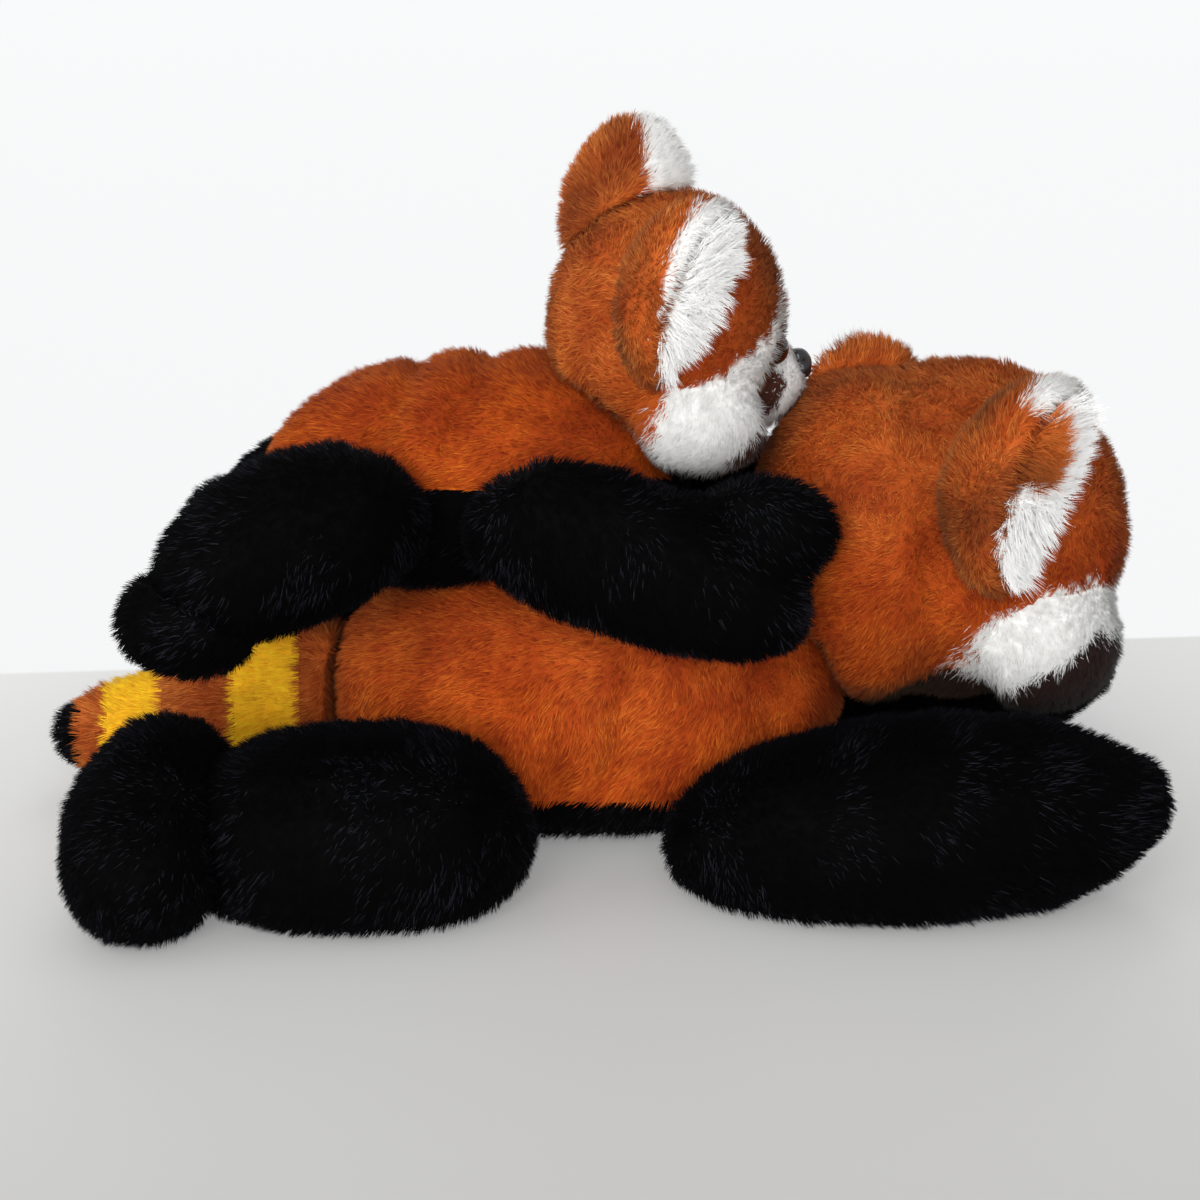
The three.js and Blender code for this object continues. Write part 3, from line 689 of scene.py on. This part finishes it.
class Piece:
    """A skin with its fur. keep is an axis and two places along it, between which the form is
    kept, patch a node and how near to it the form is kept, and fabric the thickness of an open
    skin. The strands have a pile, which is a length or a function of their places, a density per
    square millimetre, a lean in degrees and a width. facing turns their shading."""

    def __init__(self, name, body, nodes, slot, coat, flow, form=None, keep=None, patch=None,
                 fabric=0, pile=4.6, density=1.4, lean=48, width=0.44, clump=0.4, ragged=0.25,
                 facing=(0, 0, 0), fill=0.8, **shape):
        self.name, self.body, self.nodes, self.slot = name, body, nodes, slot
        self.coat, self.flow, self.form = coat, flow, form or Form(nodes, **shape)
        self.keep, self.patch, self.fabric, self.fill = keep, patch, fabric, fill
        self.pile, self.density, self.lean, self.width = pile, density, lean, width
        self.clump, self.ragged, self.facing = clump, ragged, facing

    def make_skin(self):
        points, faces = self.form.make()
        if self.keep:
            points, faces = sliced(points, faces, *self.keep, lids=not self.fabric)
        self.inside = np.zeros(len(faces), bool)
        for place in self.keep[1:] if self.keep else ():
            if place is not None:
                self.inside |= np.all(np.abs(points[faces, self.keep[0]] - place) < 0.01, axis=1)
        if self.patch:
            points, faces = patch_near(points, faces, *self.patch)
        if self.fabric:
            outer = len(faces)
            points, faces = lined(points, faces, self.fabric)
            self.inside = np.arange(len(faces)) >= outer
        self.points, self.faces = points, faces
        self.normals = normals_of(points, faces[~self.inside])
        bare = np.linalg.norm(self.normals, axis=1) < 0.5
        self.normals[bare] = normals_of(points, faces)[bare]

    def corners(self):
        return tuple(self.points[self.faces[:, k]] for k in range(3))

    def roots(self, rng):
        """Places of strands on the skin's outer side, their normals, and the faces they are on."""
        a, b, c = self.corners()
        weight = np.linalg.norm(np.cross(b - a, c - a), axis=1) / 2
        weight[(a + b + c)[:, 2] < PRESSED] *= PRESSED_SHARE
        weight[self.inside] = 0
        count = int(weight.sum() * self.density * FUR_SHARE)
        pick = np.searchsorted(np.cumsum(weight), rng.random(count) * weight.sum())
        pick = np.minimum(pick, len(self.faces) - 1)
        u, v = np.sqrt(rng.random(count)), rng.random(count)
        share = np.stack([1 - u, u * (1 - v), u * v], axis=1)
        at = np.einsum("nk,nkj->nj", share, np.stack([a, b, c], axis=1)[pick])
        normal = unit(np.einsum("nk,nkj->nj", share, self.normals[self.faces[pick]]))
        return at, normal, pick

    def ways(self, at, normal, rng):
        """The way each strand points, from how the fur flows over the skin and leans off it."""
        swirl = np.stack([waves(at, 34, seed) for seed in (21, 22, 23)], axis=1)
        flow = unit(self.flow(at, normal)) + SWIRL * swirl + STRAY * rng.normal(size=at.shape)
        lying = unit(flow - normal * np.einsum("nk,nk->n", flow, normal)[:, None])
        lean = self.lean + rng.normal(0, LEAN_STRAY, len(at)) + LEAN_ROLL * waves(at, 14, 31)
        angle = np.radians(lean)[:, None]
        return normal * np.cos(angle) + lying * np.sin(angle)

    def clumped(self, at, tips, rng):
        """Tips that gather towards the tip of the nearest of a few strands."""
        leaders = np.flatnonzero(rng.random(len(at)) < CLUMP_SHARE)
        if not len(leaders):
            return tips
        found = KDTree(len(leaders))
        for i, leader in enumerate(leaders):
            found.insert(at[leader], i)
        found.balance()
        near = np.array([leaders[found.find(p)[1]] for p in at])
        gap = np.linalg.norm(at - at[near], axis=1)[:, None]
        return tips + (tips[near] - tips) * self.clump * np.clip(1.6 - gap / CLUMP_REACH, 0, 1)

    def strands(self, crowd, number, rng):
        """Roots and tips of the fur, with the roots' normals and faces."""
        at, normal, pick = self.roots(rng)
        way = self.ways(at, normal, rng)
        pile = self.pile(at, normal) if callable(self.pile) else self.pile
        reach = pile * (1 + self.ragged * rng.uniform(-1, 0.6, len(at)))
        way = self.clumped(at, at + way * reach[:, None], rng) - at
        reach = np.linalg.norm(way, axis=1)
        way = way / reach[:, None]
        keep = crowd.fit(number, at, normal, way, reach)
        at, way, reach, normal, pick = (v[keep] for v in (at, way, reach, normal, pick))
        tips = at + way * reach[:, None]
        tips[:, 2] = np.maximum(tips[:, 2], FLOOR_GAP)
        return at - normal * ROOT_DEPTH, tips, normal, pick

    def make(self, crowd, number):
        rng = np.random.default_rng(1000 + number)
        roots, tips, normal, pick = self.strands(crowd, number, rng)
        count = len(roots)
        way = unit(tips - roots)
        side = unit(np.cross(way, rng.normal(size=(count, 3))))
        other = np.cross(way, side)
        radius = self.width / 2 * rng.uniform(0.75, 1.2, count)[:, None]
        rims = [side * math.cos(t) + other * math.sin(t)
                for t in (0, math.tau / 3, math.tau * 2 / 3)]
        strand_points = np.stack([*(roots + radius * rim for rim in rims), tips], axis=1)
        normal = unit(normal + self.facing)
        strand_normals = unit(np.stack([*(normal + 0.5 * rim for rim in rims), normal], axis=1))
        base = len(self.points) + 4 * np.arange(count)[:, None, None]
        strand_faces = base + np.array([[0, 1, 3], [1, 2, 3], [2, 0, 3], [0, 2, 1]])
        mesh = mesh_of(self.name, np.concatenate([self.points, strand_points.reshape(-1, 3)]),
                       np.concatenate([self.faces, strand_faces.reshape(-1, 3)]))

        self.add_colours(mesh, roots, normal, rng)
        self.add_map(mesh, roots, pick)
        mesh.normals_split_custom_set_from_vertices(
            np.concatenate([self.normals, strand_normals.reshape(-1, 3)]))
        mesh.materials.append(FURS[self.slot])
        thing = linked(self.name, mesh)
        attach(thing, self.body)
        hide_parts(*self.nodes)

    def add_colours(self, mesh, roots, normal, rng):
        """Three attributes for the plush: the coat's colour, lot, a value that a whole strand
        shares, and tip, which grows along it and sets the painted shade, darkest at a strand's root.
        The bare skin between strands takes a middle tip, so it is painted a little darker than the
        tips."""
        bare, count = np.full(len(self.points), 0.5), len(roots)
        strand_coat = self.coat(roots + 1.3 * rng.normal(size=(count, 3)), normal)
        if self.slot == "black_plush":
            # Painted highlight: in patches, a few black strands turn grey, for glints where the nap
            # catches light.
            strand_coat[rng.random(count) < 0.03 + 0.15 * waves(roots, 34, 71)] = GLINT
        coat = np.concatenate([self.coat(self.points, self.normals),
                               np.repeat(strand_coat, 4, axis=0)])
        coat = np.concatenate([coat, np.ones((len(coat), 1))], axis=1)
        lot = np.concatenate([bare, np.repeat(rng.random(count), 4)])
        # Painted shade: tip is 0.35 at a strand's root, 1 at its tip and 0.5 on the bare skin.
        tip = np.concatenate([bare, np.tile([0.35, 0.35, 0.35, 1], count)])
        for name, kind, field, values in (("coat", "FLOAT_COLOR", "color", coat),
                                          ("lot", "FLOAT", "value", lot),
                                          ("tip", "FLOAT", "value", tip)):
            mesh.attributes.new(name, kind, "POINT").data.foreach_set(field, values.ravel())

    def add_map(self, mesh, roots, pick):
        """The skin seen from six sides, one in each cell of a 3 by 2 grid. A strand has its
        root's place on it."""
        a, b, c = self.corners()
        facing = np.cross(b - a, c - a)
        axis = np.argmax(np.abs(facing), axis=1)
        sign = (np.take_along_axis(facing, axis[:, None], 1)[:, 0] > 0).astype(int)
        low = self.points.min(0)
        span = (self.points.max(0) - low).max() * 1.04

        def placed(points, axis, sign):
            share = (points - low) / span + 0.02
            u = np.where(axis == 0, share[..., 1], share[..., 0])
            v = np.where(axis == 2, share[..., 1], share[..., 2])
            return np.stack([(u + axis) / 3, (v + sign) / 2], axis=-1)

        skin = placed(self.points[self.faces], axis[:, None], sign[:, None])
        spots = placed(roots, axis[pick], sign[pick])
        values = np.concatenate([skin.reshape(-1, 2), np.repeat(spots, 12, axis=0)])
        layer = mesh.uv_layers.new(name="OFBake")
        layer.data.foreach_set("uv", values.ravel())


class Crowd:
    """All skins together, to keep each piece's fur out of the others."""

    CELL = 4.0

    def __init__(self, pieces):
        points, faces = joined([(each.points, each.faces) for each in pieces])
        self.tree = BVHTree.FromPolygons(points.tolist(), faces.tolist())
        self.low = points.min(0) - 5 * self.CELL
        size = np.ceil((points.max(0) - self.low) / self.CELL).astype(int) + 5
        self.owner = np.full(size, -1)
        for number, each in enumerate(pieces):
            taken = np.zeros(size, bool)
            taken[tuple(self.cells(each.points).T)] = True
            for axis in range(3):
                taken = sum(np.roll(taken, k, axis) for k in range(-3, 4)) > 0
            self.owner[taken & (self.owner >= 0)] = -2
            self.owner[taken & (self.owner == -1)] = number

    def cells(self, points):
        return ((points - self.low) / self.CELL).astype(int)

    def fit(self, number, at, normal, way, reach):
        """Raises the strands that would reach into a neighbour, or else shortens them, and says
        which to keep."""
        keep = np.ones(len(at), bool)
        upright = unit(way + 2 * normal)
        for i in np.flatnonzero(self.owner[tuple(self.cells(at).T)] != number):
            start = at[i] + normal[i] * LOOK_FROM
            hit, facing, _, gap = self.tree.ray_cast(start, way[i], reach[i] + LOOK_FROM)
            if hit is None:
                continue
            if self.tree.ray_cast(start, upright[i], reach[i] + LOOK_FROM)[0] is None:
                way[i] = upright[i]
            elif facing.dot(Vector(way[i])) > 0 or gap < CLOSE:
                keep[i] = False
            else:
                reach[i] = max(gap * ROOM, SHORTEST)
        return keep


PIECES = []


def piece(*args, **options):
    PIECES.append(Piece(*args, **options))


def mirrored(line):
    return [(x, -y, z) for x, y, z in line]


# Seams and folds on the trunks, along which the skin is drawn in.
FLANK = [(12, -56, 76), (8, -61, 56), (5, -60, 33)]
FOLD = [(-27, -58, 62), (-20, -60, 47), (-14, -58, 29)]
WAIST = [(-62, 25, 160), (-62, -2, 167), (-69, -27, 159), (-78, -36, 144)]
CHEST = [(-36, 22, 164), (-38, -3, 169), (-44, -28, 162), (-51, -40, 146)]
SEAM_GAP = 0.1
Z_AXIS = 2


def describe_trunk(who, seam, creases, coat, flow, back_density, belly_density):
    """The back above the seam and the belly below it, cut from one form."""
    form = Form([f"{who}_back", f"{who}_belly", f"{who}_filling"], creases=creases)
    piece(f"{who}_back_plush", f"{who}_trunk", [f"{who}_back"], "rust_plush", coat,
          towards(*flow), form=form, keep=(Z_AXIS, seam + SEAM_GAP, None), fabric=3.5,
          density=back_density)
    piece(f"{who}_belly_plush", f"{who}_trunk", [f"{who}_belly"], "black_plush", plain(BLACK),
          towards(-1, 0, -0.35), form=form, keep=(Z_AXIS, None, seam - SEAM_GAP), fabric=3.5,
          density=belly_density)


def describe_trunks():
    describe_trunk(
        "mother", 23,
        [(FLANK, 5, 4.2), (FOLD, 5, 3.6), (mirrored(FLANK), 5, 4.2), (mirrored(FOLD), 5, 3.6)],
        rusty(ORANGE, RUST, 20, 90), (-0.8, 0, -0.7), 1.25, 0.7)
    # The baby's back is painted darker towards its top, painted shade that tempers the lamps' light
    # from above.
    describe_trunk("baby", 131, [(WAIST, 5, 4.6), (CHEST, 5, 4)],
                   rusty(ORANGE * 0.95, ORANGE * 0.75, 120, 160), (-0.9, 0, -0.5), 1.4, 0.9)
    for who in ("mother", "baby"):
        piece(f"{who}_filling_fibre", f"{who}_trunk", [f"{who}_filling"], "filling", plain(WHITE),
              towards(0, 0, 1), density=0, voxel=4, rounds=3, inset=0.5, lumps=0.3)


# How far back along its head each cheek stays white.
CHEEK_REAR = {"mother": -30, "baby": -9}


def describe_head(who, low, high, bottom, top, size):
    """A head's furry pieces. Its rust goes from low at the bottom to high at the top, and size
    scales the pile."""
    head, body = HEADS[who], f"{who}_head_body"
    # The ears' brown is painted 15% lighter than BROWN, painted light for ears whose ridges face
    # away from the lamps, with darker patches of BARK.
    brown = patchy(BROWN * 1.15, BARK, 0.6, 30, 17)
    ground = darker_ahead(head, rusty(low, high, bottom, top))
    piece(f"{who}_head_plush", body, [f"{who}_head"], "rust_plush", masked(who, ground),
          away_from(head.world(head.half[0] * 1.1, 0, -10)), pile=4.8 * size, voxel=2.5)
    piece(f"{who}_muzzle_plush", body, [f"{who}_muzzle"], "white_plush",
          masked(who, plain(WHITE)), away_from(head.world(head.half[0] * 1.6, 0, -12)),
          pile=bearded(head, 3 * size), width=0.36, voxel=1.6, rounds=8, inset=0, lean=50,
          density=2.2)
    for side, k in (("right", -1), ("left", 1)):
        ear, lining, cheek = (f"{who}_{part}_{side}" for part in ("ear", "ear_lining", "cheek"))
        mouth = EARS[ear]
        back = mouth.along(-1, 0, 0)
        # The linings take the white that is painted brighter, painted light against the shade of the
        # ear cups.
        coat, lining_coat = rimmed(mouth, brown, *RIMS[ear]), plain(PAINTED_LIT_WHITE)
        shape = swollen(mouth, 6 * size)
        if ear == "mother_ear_right":
            coat, lining_coat = lobed(mouth, coat, brown), lobed(mouth, lining_coat, brown)
            shape = swollen(mouth, 3, 4)
        flow = away_from(mouth.at + 22 * size * back, 0.4 * mouth.along(0, 0, 1))
        piece(f"{ear}_plush", body, [ear], "brown_plush", coat, over_rim(mouth, flow),
              pile=4.6 * size, voxel=1.8, rounds=5, inset=-0.8, lean=46, density=1.9)
        piece(f"{lining}_plush", body, [lining], "white_plush", lining_coat,
              away_from(mouth.at + 14 * size * back - (12, 0, 0)), pile=11 * size, voxel=1.5,
              rounds=3, inset=-0.8, lean=52, density=2.2, clump=0.6, ragged=0.35, width=0.5,
              facing=(0, 2.4 * k, 0.8), shape=shape)
        piece(f"{cheek}_plush", body, [cheek], "white_plush",
              masked(who, behind(head, CHEEK_REAR[who], plain(WHITE), ground)),
              away_from(head.world(head.half[0], 0, -10)), pile=5 * size,
              form=Form([cheek, f"{who}_head"], voxel=2, rounds=26, inset=0.9),
              patch=(cheek, 4), fabric=3, lean=56, density=1.8)


STOUT_LIMB = {"voxel": 2.5, "rounds": 12, "inset": 1.2}
SMALL_LIMB = {"voxel": 2, "rounds": 7, "inset": 0}


def describe_limbs():
    for side, k in (("right", -1), ("left", 1)):
        for name, body, flow, form in (
                ("mother_front_leg", "mother_front_leg", (1, k * 0.2, -0.5), STOUT_LIMB),
                ("mother_thigh", "mother_hind_leg", (-0.6, k * 0.3, -0.8), STOUT_LIMB),
                ("mother_foot", "mother_hind_leg", (-0.5, k * 0.6, -0.5), STOUT_LIMB),
                ("baby_arm", "baby_arm", (0.6, 0, -1), STOUT_LIMB),
                ("baby_leg", "baby_hind_leg", (-0.8, 0, -0.7), SMALL_LIMB),
                ("baby_foot", "baby_hind_leg", (-0.8, 0, -0.6), SMALL_LIMB)):
            piece(f"{name}_{side}_plush", f"{body}_{side}_body", [f"{name}_{side}"],
                  "black_plush", plain(BLACK), towards(*flow), **form)


COLOURS = {"brown": BROWN, "yellow": YELLOW, "black": BLACK}


def describe_tail(who, body, axis, colours, seams, flow, **options):
    """A tail: one form, cut at its seams into bands of colour, from its root to its tip."""
    names = [f"{who}_tail_band_{i + 1}" for i in range(len(colours))]
    form = Form(names, voxel=2, rounds=8, inset=0.8, lumps=0.3)
    for i, (name, colour) in enumerate(zip(names, colours)):
        low = seams[i] + SEAM_GAP if i < len(seams) else None
        high = seams[i - 1] - SEAM_GAP if i else None
        ground = patchy(COLOURS[colour], COLOURS[colour] * 0.75, 0.5, 14, 40 + i)
        piece(f"{name}_plush", body, [name], f"{colour}_plush", ground, towards(*flow),
              form=form, keep=(axis, low, high), lean=54, **options)


def describe_pieces():
    describe_trunks()
    # The mother's head stays deeper low down and turns paler brown only high up: partly its own
    # colours, partly painted shade where the baby's arms shade it.
    describe_head("mother", ORANGE * 0.5 + RUST * 0.45, BROWN, 90, 165, 1)
    describe_head("baby", RUST, BROWN, 140, 215, 0.9)
    describe_limbs()
    describe_tail("mother", "mother_tail_body", 0,
                  ("brown", "yellow", "brown", "yellow", "brown", "black"),
                  (-107.5, -131.4, -159.2, -180, -190.7), (-1, 0, -0.1), pile=5.5, density=1.6)
    describe_tail("baby", "baby_trunk", Z_AXIS, ("yellow", "brown", "yellow", "black"),
                  (120.7, 100.2, 81), (-0.3, 0, -1), pile=4)


def grow_fur():
    for each in PIECES:
        each.make_skin()
    crowd = Crowd(PIECES)
    for number, each in enumerate(PIECES):
        each.make(crowd, number)


# ---- eyes, noses, mouths and washers ------------------------------------------------------------

def ringed(first, rings, last):
    """A closed form through rings of points, with a point at each end."""
    count, rows = len(rings[0]), len(rings)
    points = np.concatenate([[first], *rings, [last]])
    faces = []
    for j in range(count):
        k = (j + 1) % count
        faces.append((0, 1 + j, 1 + k))
        for row in range(rows - 1):
            a, b = 1 + row * count, 1 + (row + 1) * count
            faces += [(a + j, b + j, b + k), (a + j, b + k, a + k)]
        end = 1 + (rows - 1) * count
        faces.append((len(points) - 1, end + k, end + j))
    return points, np.array(faces)


def stud(radius, dome, shank, length):
    """A dome with a rolled rim, and the shank behind it, turned about Z."""
    arc = [(radius * math.cos(t), 0.6 + (dome - 0.6) * math.sin(t))
           for t in np.linspace(math.pi / 2, 0, 14)]
    profile = [*arc[1:], (radius * 0.98, 0.2), (radius * 0.9, 0), (shank, 0),
               (shank, -length * 0.5), (shank, -length + 0.4), (shank * 0.8, -length)]
    angle = np.arange(48) * math.tau / 48
    rings = [np.stack([far * np.cos(angle), far * np.sin(angle), np.full(48, z)], axis=1)
             for far, z in profile]
    return ringed((0, 0, dome), rings, (0, 0, -length))


def nose_shaped(points, radius, dome):
    """A stud's dome drawn in on three sides, with two nostrils."""
    angle = np.arctan2(points[:, 1], points[:, 0])
    far = np.hypot(points[:, 0], points[:, 1])
    body = np.clip((far / radius - 0.4) / 0.5, 0, 1) * (points[:, 2] > -0.5)
    points[:, :2] *= (1 - body * 0.14 * (1 + np.sin(3 * angle)))[:, None]
    for k in (-1, 1):
        near = np.hypot(points[:, 0] - k * radius * 0.42, points[:, 1] + radius * 0.25)
        points[:, 2] -= (points[:, 2] > 0.5) * dome * 0.35 * np.exp(-(near / (radius * 0.2)) ** 2)
    return points


def seated(points, head, place, normal):
    """Points moved onto a head: their +Z points along normal, and their +Y up the face."""
    z = unit(normal)
    x = unit(np.cross(head.along(0, 0, 1), z))
    turn = np.stack([x, np.cross(z, x), z], axis=1)
    return points @ turn.T + place


def moulded(name, body, node, points, faces, material):
    mesh = mesh_of(name, points, faces)
    mesh.materials.append(material)
    thing = linked(name, mesh)
    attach(thing, body)
    if node:
        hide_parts(node)


# Each face's studs: their radius, dome, shank and length. An eye's place out and up, and how far
# up the muzzle the nose sits.
EYES = {"mother": ((7, 5, 2.2, 13), 21, 6), "baby": ((5, 4, 1.8, 10), 15, 4)}
NOSES = {"mother": ((9, 7, 2.2, 13), 9), "baby": ((6, 5, 1.8, 10), 8.5)}
EYE_SUNK, NOSE_SUNK = 1.2, 1


def add_eyes_and_nose(who):
    head, body = HEADS[who], f"{who}_head_body"
    sizes, out, up = EYES[who]
    for side, k in (("right", -1), ("left", 1)):
        points, faces = stud(*sizes)
        seat = head.seat((0, 0, 0), head.half, k * out, up, EYE_SUNK)
        moulded(f"{who}_eye_{side}_dome", body, f"{who}_eye_{side}",
                seated(points, head, *seat), faces, EYE_SHINE)
    sizes, up = NOSES[who]
    points, faces = stud(*sizes)
    seat = head.seat(*MUZZLES[who], 0, up, NOSE_SUNK)
    moulded(f"{who}_nose_shaped", body, f"{who}_nose",
            seated(nose_shaped(points, *sizes[:2]), head, *seat), faces, NOSE_SHINE)


# The stitched mouth, out and up on a muzzle of the mother's size: a seam down from the nose that
# parts into two smiling curves. Its thread has a radius and stands off the skin.
LIP = [(9.5 * math.sin(t), -6 - 3.6 * math.sin(2 * t)) for t in np.linspace(0, 1.35, 14)]
STITCHES = {
    "philtrum": [(0, z) for z in np.linspace(3, -6, 9)],
    "mouth_right": [(-y, z) for y, z in LIP],
    "mouth_left": LIP,
}
MOUTH_SCALE = {"mother": 1, "baby": 0.72}
THREAD_RADIUS, THREAD_OUT = 0.75, 1.4


def add_mouth(who):
    head, scale = HEADS[who], MOUTH_SCALE[who]
    for name, curve in STITCHES.items():
        path, normals = map(np.array, zip(*(
            head.seat(*MUZZLES[who], y * scale, z * scale, -THREAD_OUT * scale)
            for y, z in curve)))
        across = unit(np.cross(unit(np.gradient(path, axis=0)), normals))
        radius = THREAD_RADIUS * scale + 0.12 * np.sin(np.arange(len(path)) * 2.2)[:, None]
        rings = np.stack([path + radius * (across * math.cos(t) + normals * math.sin(t))
                          for t in np.arange(8) * math.tau / 8], axis=1)
        points, faces = ringed(path[0], rings, path[-1])
        moulded(f"{who}_{name}_thread", f"{who}_head_body", None, points, faces[:, ::-1],
                THREAD)


def dress_washers():
    for name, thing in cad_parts.items():
        if "washer" in name:
            thing.data.materials.clear()
            thing.data.materials.append(WASHER)


FURS = {name: fur_material(name, **options) for name, options in {
    "rust_plush": {},
    "brown_plush": {},
    "black_plush": dict(roughness=0.75, sheen=0.01, tint=(0.6, 0.7, 1), gloss=0.06,
                        golden=(0, 0)),
    "white_plush": dict(patch=0.02, root=0.9, tint=(1, 1, 1), uneven=0.07),
    "yellow_plush": dict(patch=0.08, root=0.85, uneven=0.15),
    "filling": dict(patch=0.05, root=0.8, uneven=0.1),
}.items()}
EYE_SHINE = shiny_material("eye_shine", (0.012, 0.006, 0.004), (0.05, 0.02, 0.01), 0.08, 1.0)
NOSE_SHINE = shiny_material("nose_shine", (0.012, 0.011, 0.012), (0.02, 0.018, 0.02), 0.28, 0.4)
WASHER = shiny_material("washer_plastic", (0.7, 0.7, 0.7), (0.8, 0.8, 0.8), 0.5)
THREAD = shiny_material("mouth_thread", (0.01, 0.01, 0.012), (0.02, 0.02, 0.022), 0.7)

add_studio()
describe_pieces()
grow_fur()
for who in ("mother", "baby"):
    add_eyes_and_nose(who)
for who in ("mother", "baby"):
    add_mouth(who)
dress_washers()
